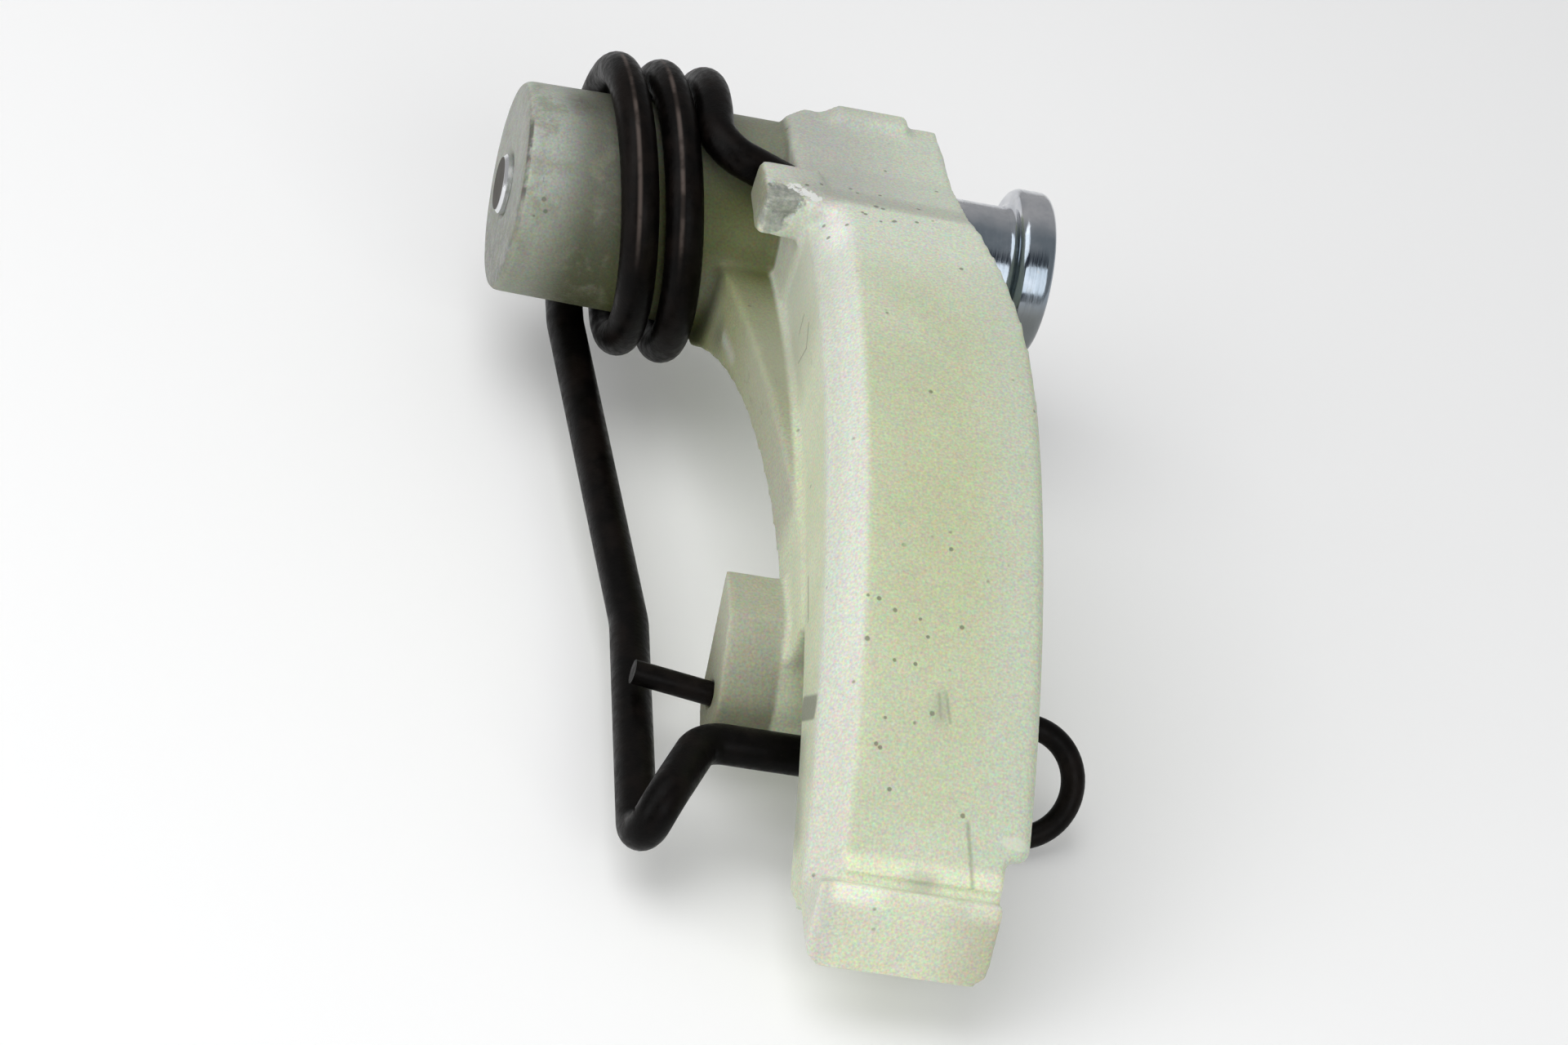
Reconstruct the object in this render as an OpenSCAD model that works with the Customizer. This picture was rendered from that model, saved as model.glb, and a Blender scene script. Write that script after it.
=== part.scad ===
// Timing chain tensioner: a moulded slipper that swings on a headed pin, a torsion spring and a lock pin.
// Millimetres. The pin axis is X, its head is at X = 0, the chain face looks up (+Z) and the arm runs to -Y.

/* [Pivot pin] */
// Diameter of the bearing shank
shank_d = 10; // [7:0.1:11]
// Diameter of the head
head_d = 13.2; // [12.8:0.1:15]
// Thickness of the head
head_t = 2.9; // [2:0.1:4]
// Rounding of both edges of the head
head_round = 0.7; // [0.2:0.05:0.9]
// Fillet between shank and head
neck_fillet = 0.5; // [0.2:0.05:0.8]
// Bare length of shank between slipper and head
neck_l = 6.5; // [4:0.1:12]
// Diameter of the reduced tip
tip_d = 4.6; // [3:0.1:6]
// How far the tip stands out of the boss
tip_out = 0.6; // [0.4:0.1:2]

/* [Slipper hub] */
// Diameter of the hub beside the shoe
hub_d = 16.8; // [16:0.1:18]
// Diameter of the boss at its closed end
boss_d = 16.2; // [15:0.1:17]
// Length of boss and hub together
hub_l = 32.9; // [31:0.1:36]
// Length of the hub beside the shoe
root_l = 17.3; // [15:0.1:18]
// Thickness of the closed end of the boss
end_wall = 4.6; // [2:0.1:8]
// Edge break at the closed end of the boss
boss_edge = 0.35; // [0.1:0.05:0.8]
// Running clearance of the pin in its bores, per side
pin_gap = 0.05; // [0.01:0.01:0.1]
// Free length between the shank shoulder and the closed end
shoulder_gap = 0.3; // [0.1:0.1:1]

/* [Shoe] */
// Radius of the chain face
slide_r = 71.7; // [66:0.1:80]
// Distance of the face's crown in front of the pin axis
crown_y = 21.1; // [19:0.1:23]
// Height of the face's crown above the pin axis
crown_z = 12.85; // [12.2:0.05:13.6]
// Width of the shoe
shoe_w = 15.3; // [14.5:0.1:17]
// How far the shoe stands out beyond the hub on the head side
shoe_out = 2.7; // [1.5:0.1:3]
// Where the chain face starts in front of the pin axis
face_start = 12; // [11.5:0.1:13]
// Where the chain face ends in front of the pin axis
shoe_reach = 67.3; // [66:0.1:68]
// Set-back of the shoe's end at its lower edge
end_rake = 2.3; // [1:0.1:4]
// Length by which the shoe's edge on the head side ends short
edge_short = 1.9; // [0.5:0.1:3]
// Thickness of that edge at its end
edge_t = 0.5; // [0.3:0.1:2]
// Set-back of that edge's underside
edge_under = 13; // [6:0.5:16]
// Rounding of that edge's corner
foot_round = 1.2; // [0.4:0.1:1.6]
// Rounding of the shoe's lower end corner
heel_round = 1.6; // [0.4:0.1:2.2]
// Height of the shoe's side at the crown
rail_h = 9.7; // [8.5:0.1:10.5]
// Radius of the shoe's lower edge
belly_r = 72.35; // [68:0.05:78]
// Distance of the lower edge's crown in front of the pin axis
belly_y = 22.9; // [21:0.1:25]
// Width of the bevel along the outer side of the face
bevel_w = 2.2; // [0.5:0.1:4]
// Depth of the bevel along the outer side of the face
bevel_d = 2.4; // [0.5:0.1:4]
// Rounding of the face's edge on the head side
face_round = 0.9; // [0.2:0.1:2]
// Radius by which the face narrows towards the pin
flare_r = 100; // [80:1:140]
// Where the narrowing starts in front of the pin axis
flare_start = 36; // [32:0.5:40]

/* [End block] */
// Width of the block at the shoe's end
end_w = 13; // [10:0.1:13.8]
// How far the block lies in from the shoe's outer side
end_inset = 0.6; // [0.2:0.1:1]
// How far the block stands out beyond the chain face
end_out = 3.5; // [2.5:0.1:5]
// Height of the block under the end of the chain face
end_h = 6; // [5:0.1:7]
// Rounding of the block's lower corners
end_round = 1.3; // [0.3:0.1:2]

/* [Upper block] */
// Width of the block over the hub
block_w = 12.5; // [11:0.1:13]
// Height of the block's back edge above the pin axis
block_back_z = 8.4; // [8.2:0.05:9]
// Distance of the block's back edge behind the pin axis
block_back_y = 5; // [4.5:0.1:5.6]
// Easing of the block's back corner on the spring side
block_ease = 1.6; // [0.4:0.1:2]
// Height of the block's middle edge above the pin axis
block_mid_z = 9.9; // [9.5:0.05:10.2]
// Width of the raised lip
lip_w = 6.7; // [3:0.1:9]
// Distance of the lip from the block's spring side
lip_in = 3.2; // [1:0.1:3.5]
// Height of the lip above the block
lip_h = 0.9; // [0.3:0.1:1.5]
// Length of the lip along the block
lip_l = 1.8; // [1.2:0.1:4]
// Length of the lip's sloping end
lip_slope = 1; // [0.2:0.1:1.2]
// How far the spring prong stands out of the block
prong_l = 3.5; // [2:0.1:3.6]
// Thickness of the prong
prong_t = 3; // [2:0.1:3.2]
// Height of the prong's back edge above the block
prong_rise = 0.7; // [0.1:0.1:1]
// Width of the prong
prong_w = 5.6; // [4:0.1:5.6]
// Rounding of the prong's end
prong_round = 0.8; // [0.2:0.1:1.2]

/* [Web and ear] */
// Radius of the web's hollow lower edge
web_r = 30; // [28:0.5:32]
// Distance of that hollow's centre in front of the pin axis
web_y = 25; // [23:0.1:27]
// Height of web left over the middle of the hollow, under the pin axis
web_z = 1; // [0:0.1:3]
// Distance of the lock pin's hole in front of the pin axis
ear_y = 45.8; // [45:0.1:47]
// Distance of the lock pin's hole under the pin axis
ear_z = 8.6; // [8:0.1:9]
// Outer radius of the ear round the hole
ear_r = 3.2; // [2.6:0.1:3.6]
// Length of the ear
ear_l = 15.2; // [10:0.1:17]

/* [Torsion spring] */
// Diameter of the wire
wire_d = 2.9; // [2.2:0.1:3]
// Free space between hub and coil, per side
coil_gap = 0.25; // [0.15:0.05:0.4]
// Distance of the first turn from the boss's closed end
coil_in = 6.95; // [5:0.05:7.2]
// Spacing of the turns
coil_pitch = 3.45; // [3.2:0.05:3.6]
// Angle at which the turns cross over, from the back upwards
coil_flip = 52; // [40:1:60]
// Distance of the leg's bend behind the lock pin
leg_bend = 9.3; // [6:0.1:13]
// Shift of the leg at its bend, from the first turn to the shoe
leg_shift = 3.75; // [3:0.05:4]
// Free space between the leg and the lock pin
leg_gap = 0.54; // [0.4:0.02:1]
// Distance of the foot bar in front of the lock pin
bar_ahead = 6.8; // [6:0.1:8]
// Free space between the foot bar and the shoe's lower edge
bar_gap = 2.6; // [1.5:0.1:3.2]
// Distance of the hairpin in front of the foot bar
hairpin_l = 7.6; // [6.5:0.1:9.5]
// Bend radius of the hairpin
hairpin_r = 2.1; // [1.9:0.05:2.1]
// Length of the foot bar
bar_l = 20; // [10:0.1:24]
// Height of the tool mark at each end of a bend
bend_mark = 0.05; // [0.04:0.01:0.08]

/* [Lock pin] */
// Diameter of the lock pin's wire
lock_d = 1.77; // [1.4:0.01:1.9]
// Running clearance of the lock pin in the ear, per side
lock_gap = 0.06; // [0.02:0.01:0.1]
// Length that stands out on the spring side
lock_tail = 5.8; // [2:0.1:7]
// Distance from the ear's outer side to the eye's centre
lock_l = 23.7; // [21:0.1:27]
// Mean radius of the eye
eye_r = 4.06; // [3.2:0.02:5]
// Tilt of the lock pin against the pin axis
lock_tilt = 7; // [5:0.1:7.5]
// Turn of the eye about the lock pin
eye_turn = 38; // [30:1:60]

/* [Hidden] */
$fn = 72;
shank_r = shank_d / 2;
head_r = head_d / 2;
tip_r = tip_d / 2;
hub_r = hub_d / 2;
boss_r = boss_d / 2;
wire_r = wire_d / 2;
lock_r = lock_d / 2;
// Stations along the pin axis
x_hub = -head_t - neck_l;
x_end = x_hub - hub_l;
x_root = x_hub - root_l;
x_in = x_hub + shoe_out;
x_out = x_in - shoe_w;
x_block = x_out - 0.3;
x_nose = x_out + end_inset;
x_shoulder = x_end + end_wall + shoulder_gap;
edge_step = 0.04;
// Chain face and lower edge in the side view
slide_z = crown_z - slide_r;
belly_z = crown_z - rail_h - belly_r;
end_z = slide_at(shoe_reach);
joint_z = slide_at(face_start) - 0.1;
heel_y = shoe_reach - end_rake * (end_z - belly_at(shoe_reach - end_rake)) / (rail_h * 0.7);
heel = [-heel_y, belly_at(heel_y)];
up_end = unit([-end_rake, rail_h * 0.7]);
up_belly = unit([heel[1] - belly_z, heel_y - belly_y]);
heel_c = heel + unit(up_end + up_belly) * heel_round / sin(acos(up_end * up_belly) / 2);
mid_y = 4.6;
prong_y = 7.6;
prong_z = block_mid_z + (joint_z - block_mid_z) * (prong_y - mid_y) / (face_start - mid_y) + prong_rise;
// Coil
coil_r = hub_r + coil_gap + wire_r;
x1 = x_end + coil_in;
x2 = x1 + coil_pitch;
x3 = x2 + coil_pitch;
x_leg = x1 + leg_shift;
bar_y = ear_y + bar_ahead;
bar_z = bar_gap + wire_r - belly_at(bar_y);
lock_rise = (x_root - x_leg) * tan(lock_tilt) * cos(eye_turn);
leg_z = max(ear_z - lock_rise + lock_r + wire_r + leg_gap, bar_z + hairpin_r * 1.7);
hairpin_y = bar_y + hairpin_l;
hairpin_h = leg_z - bar_z + 0.3;
tail_angle = 92;
tail_start = [x3, coil_r * cos(tail_angle), coil_r * sin(tail_angle)];
tail_bend = tail_start + 4.2 * [0, -sin(tail_angle), cos(tail_angle)];
tail_end = [x_out - 0.6, -prong_y + wire_r + 0.35, tail_bend[2] - 1.45];
tail_path = [tail_start, tail_bend, tail_end];
tail_radii = [0, 3.2, 0];
x_bar = x_leg + 3.6;
leg_path = [
    [x1, 0, -coil_r],
    [x1, -2.5, -coil_r],
    [x_leg, leg_bend - ear_y, -leg_z],
    [x_leg - 0.5, -hairpin_y, -leg_z],
    [x_leg + 0.4, -hairpin_y + 0.6, hairpin_h - leg_z],
    [x_bar, -bar_y, -bar_z],
    [x_bar + bar_l, -bar_y, -bar_z]
];
leg_radii = [0, 12, 12, hairpin_r, hairpin_r, 2.5, 0];
// Eye of the lock pin
eye_fillet = 2;
eye_back = sqrt(pow(eye_r + eye_fillet, 2) - pow(eye_fillet, 2));
eye_from = atan2(eye_fillet, -eye_back);
eye_sweep = 300;

function slide_at(y) = slide_z + sqrt(pow(slide_r, 2) - pow(y - crown_y, 2));
function belly_at(y) = belly_z + sqrt(pow(belly_r, 2) - pow(y - belly_y, 2));
function unit(v) = v / norm(v);
function half_angle(a, b, c) = acos(unit(a - b) * unit(c - b)) / 2;
function trim(p, r, i) =
    i == 0 || i == len(p) - 1 ? 0 : r[i] / tan(half_angle(p[i - 1], p[i], p[i + 1]));
function frame_of(s, t, o) = [
    [s[0], t[0], cross(s, t)[0], o[0]],
    [s[1], t[1], cross(s, t)[1], o[1]],
    [s[2], t[2], cross(s, t)[2], o[2]],
    [0, 0, 0, 1]
];

// A straight run of spring wire
module rod(a, b) {
    v = b - a;
    translate(a)
        rotate([0, acos(v[2] / norm(v)), atan2(v[1], v[0])])
            cylinder(r = wire_r, h = norm(v));
}

// A round bend of spring wire at corner b
module bend(a, b, c, r) {
    u = unit(a - b);
    v = unit(c - b);
    half = half_angle(a, b, c);
    o = b + unit(u + v) * r / sin(half);
    s = unit(b + u * r / tan(half) - o);
    multmatrix(frame_of(s, -u, o))
        rotate_extrude(angle = 180 - 2 * half)
            translate([r, 0])
                circle(wire_r);
}

// Tool mark round a wire of radius r where a bend ends, at o along d
module bend_end(o, d, r) {
    translate(o)
        rotate([0, acos(d[2] / norm(d)), atan2(d[1], d[0])])
            cylinder(r = r + bend_mark, h = 0.2, center = true);
}

// Spring wire along a run of corners
module wire(p, r) {
    for (i = [0 : len(p) - 2]) {
        d = unit(p[i + 1] - p[i]);
        rod(p[i] + d * trim(p, r, i), p[i + 1] - d * trim(p, r, i + 1));
    }
    for (i = [1 : len(p) - 2]) {
        bend(p[i - 1], p[i], p[i + 1], r[i]);
        for (q = [p[i - 1], p[i + 1]]) {
            bend_end(p[i] + unit(q - p[i]) * trim(p, r, i), q - p[i], wire_r);
        }
    }
}

// Part of a turn that lies square to the pin axis
module flat_turn(x, from, sweep) {
    translate([x, 0, 0])
        rotate([0, 90, 0])
            rotate([0, 0, from + 90])
                rotate_extrude(angle = sweep)
                    translate([coil_r, 0])
                        circle(wire_r);
}

// Tool mark on the coil at a given angle
module coil_mark(x, angle) {
    bend_end([x, coil_r * cos(angle), coil_r * sin(angle)], [0, -sin(angle), cos(angle)], wire_r);
}

// Half a turn that steps over to the next one
module step_turn(xa, xb) {
    a = [xa, coil_r * cos(coil_flip), coil_r * sin(coil_flip)];
    o = [(xa + xb) / 2, 0, 0];
    multmatrix(frame_of(unit(a - o), [0, -sin(coil_flip), cos(coil_flip)], o))
        rotate_extrude(angle = 180)
            translate([norm(a - o), 0])
                circle(wire_r);
}

// Side view to solid: 2-D x becomes Y, 2-D y becomes Z, from xa to xb
module side(xa, xb) {
    translate([xa, 0, 0])
        rotate([90, 0, 90])
            linear_extrude(xb - xa)
                children();
}

// Square with rounded lower corners, centred on X
module rounded_bar(w, h, r) {
    translate([-w / 2, r])
        square([w, h - r]);
    translate([-w / 2 + r, 0])
        square([w - 2 * r, h]);
    for (s = [-1, 1]) {
        translate([s * (w / 2 - r), r])
            circle(r);
    }
}

// Round outside of boss and hub
module hub() {
    translate([x_end, 0, 0])
        rotate([0, 90, 0])
            rotate_extrude()
                polygon([
                    [0, 0],
                    [boss_r - boss_edge, 0],
                    [boss_r, boss_edge],
                    [hub_r, hub_l - root_l],
                    [hub_r, hub_l],
                    [0, hub_l]
                ]);
}

// Section of the shoe: radius along x, pin axis along y
module shoe_section() {
    difference() {
        translate([slide_r - 16, x_out])
            square([16, shoe_w]);
        polygon([
            [slide_r + 1, x_out - 1],
            [slide_r + 1, x_out + bevel_w + bevel_w / bevel_d],
            [slide_r - bevel_d - bevel_d / bevel_w, x_out - 1]
        ]);
        translate([slide_r - face_round, x_in - face_round])
            difference() {
                square(face_round + 1);
                circle(face_round);
            }
    }
}

// Curved rail that carries the chain face
module shoe() {
    first = asin((crown_y - face_start) / slide_r);
    last = asin((shoe_reach + 4 - crown_y) / slide_r);
    difference() {
        translate([0, -crown_y, slide_z])
            rotate([0, 90, 0])
                rotate([0, 0, 180 - first])
                    rotate_extrude(angle = first + last, $fn = 180)
                        shoe_section();
        translate([x_out - 1, -belly_y, belly_z])
            rotate([0, 90, 0])
                cylinder(r = belly_r, h = shoe_w + 2, $fn = 180);
        translate([x_in - flare_r - edge_step, -flare_start, -5])
            linear_extrude(30)
                difference() {
                    translate([flare_r - 12, 0])
                        square([13, flare_start]);
                    circle(flare_r, $fn = 180);
                }
        side(x_out - 1, x_in + 1)
            polygon([
                [-shoe_reach - end_rake, end_z + rail_h * 0.7],
                [-shoe_reach + end_rake * 3, end_z - rail_h * 2.1],
                [-shoe_reach - slide_r, end_z - rail_h * 2.1],
                [-shoe_reach - slide_r, end_z + rail_h * 0.7]
            ]);
        translate([x_in - foot_round - edge_step, edge_short - shoe_reach + foot_round, -25])
            linear_extrude(40) {
                mirror([0, 1])
                    difference() {
                        square(foot_round + 1);
                        circle(foot_round);
                    }
                translate([foot_round + edge_step + x_nose + end_w - x_in, -20 - foot_round])
                    square(20);
            }
        side(x_nose + end_w, x_in + 1)
            polygon([
                [edge_short - shoe_reach, slide_at(shoe_reach - edge_short) - edge_t],
                [edge_short - shoe_reach + edge_under, slide_at(shoe_reach - edge_short) - rail_h],
                [-shoe_reach - 10, end_z - rail_h - 5],
                [-shoe_reach - 10, slide_at(shoe_reach - edge_short) - edge_t]
            ]);
        side(x_out - 1, x_nose)
            difference() {
                polygon([
                    heel_c,
                    heel_c + 3 * heel_round * [-up_end[1], up_end[0]],
                    heel - heel_round * (up_end + up_belly),
                    heel_c + 3 * heel_round * [up_belly[1], -up_belly[0]]
                ]);
                translate(heel_c)
                    circle(heel_round - edge_step);
            }
    }
}

// Side view of the block over the hub
module block_2d() {
    polygon([
        [7, 4.2],
        [block_back_y, block_back_z],
        [-mid_y, block_mid_z],
        [-face_start, joint_z],
        [-face_start - 1.5, joint_z],
        [-face_start - 1.5, 2],
        [0, 0]
    ]);
}

// Side view of the prong that catches the short spring leg
module prong_2d() {
    polygon([
        [-prong_y, prong_z - prong_t],
        [-prong_y, prong_z],
        [-face_start, joint_z],
        [-face_start - 1.2, joint_z],
        [-face_start - 1.2, joint_z - prong_t - 0.7],
        [-face_start + 1, joint_z - prong_t - 0.5]
    ]);
}

module prong() {
    intersection() {
        side(x_block - prong_l, x_out + 1)
            prong_2d();
        translate([x_block - prong_l, -prong_y, 0])
            linear_extrude(20)
                mirror([0, 1])
                    union() {
                        translate([prong_round, 0])
                            square([prong_l + 2, prong_w]);
                        translate([0, prong_round])
                            square([prong_l + 2, prong_w - 2 * prong_round]);
                        for (y = [prong_round, prong_w - prong_round]) {
                            translate([prong_round, y])
                                circle(prong_round);
                        }
                    }
    }
}

// Raised lip at the block's back edge, with sloping ends
module lip() {
    intersection() {
        side(x_block + lip_in, x_block + lip_in + lip_w)
            polygon([
                [block_back_y + 0.6, block_back_z - 1.9],
                [block_back_y + 0.1, block_back_z + lip_h],
                [block_back_y - lip_l, block_back_z + lip_h + 0.2],
                [block_back_y - lip_l, block_back_z - 1]
            ]);
        translate([x_block + lip_in, block_back_y + 2, block_back_z])
            rotate([90, 0, 0])
                linear_extrude(lip_l + 4)
                    polygon([
                        [-1, -3],
                        [-1, -1],
                        [lip_slope, lip_h],
                        [lip_slope + 0.6, lip_h + 1],
                        [lip_w - 0.6, lip_h + 1],
                        [lip_w + 1, -1],
                        [lip_w + 1, -3]
                    ]);
    }
}

module upper_block() {
    intersection() {
        side(x_block, x_block + block_w)
            block_2d();
        linear_extrude(crown_z + 2)
            polygon([
                [x_block - 1, -face_start - 2],
                [x_block - 1, block_back_y - block_ease - 1],
                [x_block + 3, block_back_y - block_ease + 3],
                [x_block + block_w + 1, block_back_y + 3],
                [x_block + block_w + 1, -face_start - 2]
            ]);
    }
    lip();
    prong();
}

// Arm between hub, shoe and ear
module web() {
    intersection() {
        side(x_root, x_hub)
            difference() {
                intersection() {
                    translate([-belly_y, belly_z])
                        circle(belly_r + 0.3, $fn = 180);
                    polygon([[0, 6], [0, 0], [-5, -6.6], [-ear_y, -16], [-ear_y - 1, 6]]);
                }
                translate([-web_y, -web_z - web_r])
                    circle(web_r, $fn = 120);
            }
        translate([0, 0, -30])
            linear_extrude(60)
                polygon([
                    [x_root, 1],
                    [x_root, -6],
                    [x_out - 0.2, -39],
                    [x_out - 0.2, -ear_y - 2],
                    [x_hub - 0.4, -ear_y - 2],
                    [x_hub - 0.4, 1]
                ]);
    }
}

// Drop-shaped ear that takes the lock pin
module ear() {
    side(x_root, x_root + ear_l) {
        translate([-ear_y, -ear_z])
            circle(ear_r);
        polygon([
            [-ear_y + 6.6, -2.4],
            [-ear_y + 2.4, -ear_z - 2.1],
            [-ear_y - 2.6, -ear_z + 1.9],
            [-ear_y + 1.8, -2.4]
        ]);
    }
}

// Nose at the shoe's free end
module end_block() {
    intersection() {
        side(x_nose, x_nose + end_w)
            polygon([
                [-shoe_reach + end_rake, end_z - end_h / 2],
                [-shoe_reach - end_out * 0.37, end_z],
                [-shoe_reach - end_out, end_z - end_h],
                [-shoe_reach + end_rake, end_z - end_h]
            ]);
        translate([x_nose + end_w / 2, end_rake + 1 - shoe_reach, end_z - end_h])
            rotate([90, 0, 0])
                linear_extrude(end_out + end_rake + 2)
                    rounded_bar(end_w, 2 * end_h, end_round);
    }
}

// Frame of the lock pin: X along the pin, eye in its XZ plane
module at_lock() {
    translate([x_root, -ear_y, -ear_z])
        rotate([-eye_turn, 0, 0])
            rotate([0, lock_tilt, 0])
                children();
}

module slipper() {
    color([0.76, 0.79, 0.67])
        difference() {
            union() {
                hub();
                shoe();
                upper_block();
                web();
                ear();
                end_block();
            }
            translate([x_end + end_wall, 0, 0])
                rotate([0, 90, 0])
                    cylinder(r = shank_r + pin_gap, h = hub_l);
            translate([x_end - 1, 0, 0])
                rotate([0, 90, 0])
                    cylinder(r = tip_r + pin_gap, h = end_wall + 2);
            at_lock()
                translate([-2, 0, 0])
                    rotate([0, 90, 0])
                        cylinder(r = lock_r + lock_gap, h = ear_l + 4);
        }
}

module torsion_spring() {
    color([0.12, 0.10, 0.10]) {
        wire(leg_path, leg_radii);
        flat_turn(x1, -90, 90 + coil_flip);
        step_turn(x1, x2);
        flat_turn(x2, coil_flip + 180, 180);
        step_turn(x2, x3);
        flat_turn(x3, coil_flip + 180, 180 + tail_angle - coil_flip);
        wire(tail_path, tail_radii);
        coil_mark(x1, -90);
        coil_mark(x1, coil_flip);
        coil_mark(x2, coil_flip + 180);
        coil_mark(x2, coil_flip);
        coil_mark(x3, coil_flip + 180);
        coil_mark(x3, tail_angle);
    }
}

module pivot_pin() {
    color([0.72, 0.74, 0.78])
        rotate([0, 90, 0])
            rotate_extrude()
                difference() {
                    polygon([
                        [0, 0],
                        [head_r, 0],
                        [head_r, -head_t],
                        [shank_r + neck_fillet, -head_t],
                        [shank_r + neck_fillet, -head_t - neck_fillet],
                        [shank_r, -head_t - neck_fillet],
                        [shank_r, x_shoulder],
                        [tip_r, x_shoulder],
                        [tip_r, x_end - tip_out + 0.3],
                        [tip_r - 0.3, x_end - tip_out],
                        [0, x_end - tip_out]
                    ]);
                    translate([shank_r + neck_fillet, -head_t - neck_fillet])
                        circle(neck_fillet);
                    for (m = [0, 1]) {
                        translate([head_r - head_round, -head_t / 2])
                            mirror([0, m])
                                translate([0, head_t / 2 - head_round])
                                    difference() {
                                        square(head_round + 1);
                                        circle(head_round);
                                    }
                    }
                }
}

module lock_pin() {
    color([0.14, 0.12, 0.11])
        at_lock() {
            translate([-lock_tail, 0, 0])
                rotate([0, 90, 0])
                    cylinder(r = lock_r, h = lock_tail + lock_l - eye_back);
            translate([lock_l - eye_back, 0, eye_fillet])
                rotate([90, 0, 0])
                    rotate([0, 0, -90])
                        rotate_extrude(angle = eye_from - 90)
                            translate([eye_fillet, 0])
                                circle(lock_r);
            translate([lock_l, 0, 0])
                rotate([90, 0, 0])
                    rotate([0, 0, eye_from - eye_sweep])
                        rotate_extrude(angle = eye_sweep)
                            translate([eye_r, 0])
                                circle(lock_r);
            bend_end([lock_l - eye_back, 0, 0], [1, 0, 0], lock_r);
            bend_end(
                [lock_l + eye_r * cos(eye_from), 0, eye_r * sin(eye_from)],
                [sin(eye_from), 0, -cos(eye_from)],
                lock_r
            );
        }
}

slipper();
torsion_spring();
pivot_pin();
lock_pin();
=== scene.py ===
import math

import bmesh
import bpy
from mathutils import Matrix, Vector
from mathutils import noise as lumps


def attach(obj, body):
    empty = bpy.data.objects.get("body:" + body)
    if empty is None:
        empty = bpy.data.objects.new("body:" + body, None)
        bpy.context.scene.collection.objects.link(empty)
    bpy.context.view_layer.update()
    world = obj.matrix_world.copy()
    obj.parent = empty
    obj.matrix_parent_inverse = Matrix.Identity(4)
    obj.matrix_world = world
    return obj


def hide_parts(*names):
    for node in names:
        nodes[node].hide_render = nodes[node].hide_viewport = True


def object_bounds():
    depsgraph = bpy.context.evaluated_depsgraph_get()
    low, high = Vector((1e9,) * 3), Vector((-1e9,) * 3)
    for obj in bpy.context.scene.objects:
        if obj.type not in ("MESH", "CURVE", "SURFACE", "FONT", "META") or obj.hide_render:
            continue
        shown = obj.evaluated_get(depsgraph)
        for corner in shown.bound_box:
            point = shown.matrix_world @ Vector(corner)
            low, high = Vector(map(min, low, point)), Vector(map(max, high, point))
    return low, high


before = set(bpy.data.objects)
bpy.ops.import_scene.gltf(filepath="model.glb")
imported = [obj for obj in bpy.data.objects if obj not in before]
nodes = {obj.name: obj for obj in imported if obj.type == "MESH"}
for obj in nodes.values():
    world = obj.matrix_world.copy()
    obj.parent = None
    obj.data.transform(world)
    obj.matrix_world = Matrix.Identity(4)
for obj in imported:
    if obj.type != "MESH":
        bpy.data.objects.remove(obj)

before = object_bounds()

# Millimetres in one metre
MM = 1000.0
# Upward direction of the photo's view, across the pin axis, in Y and Z
LIFT_Y, LIFT_Z = 0.616, 0.788
# Stretch that leaves only the distance from the pin axis
FROM_AXIS = (0, 1, 1)
# Centre line of the shoe's curve
SHOE_CENTRE = (0.0, -21.1, -58.85)
# Crest of the ridge at the lower end of the chain face
END_RIDGE = (0.0, -68.5, 0.0)
# Stretch that leaves only the distance along the arm
ALONG_ARM = (0, 1, 0)
# Near side of the shoe, end of the boss and end of the pin, along the pin axis
SIDE_X, BOSS_END_X, PIN_END_X = -22.0, -42.2, -42.9
# Lean of the coil's turns, and the crests of the two that carry a painted highlight, along the pin axis
COIL_LEAN, COIL_CRESTS = 0.1494, (-33.90, -30.60)

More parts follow.
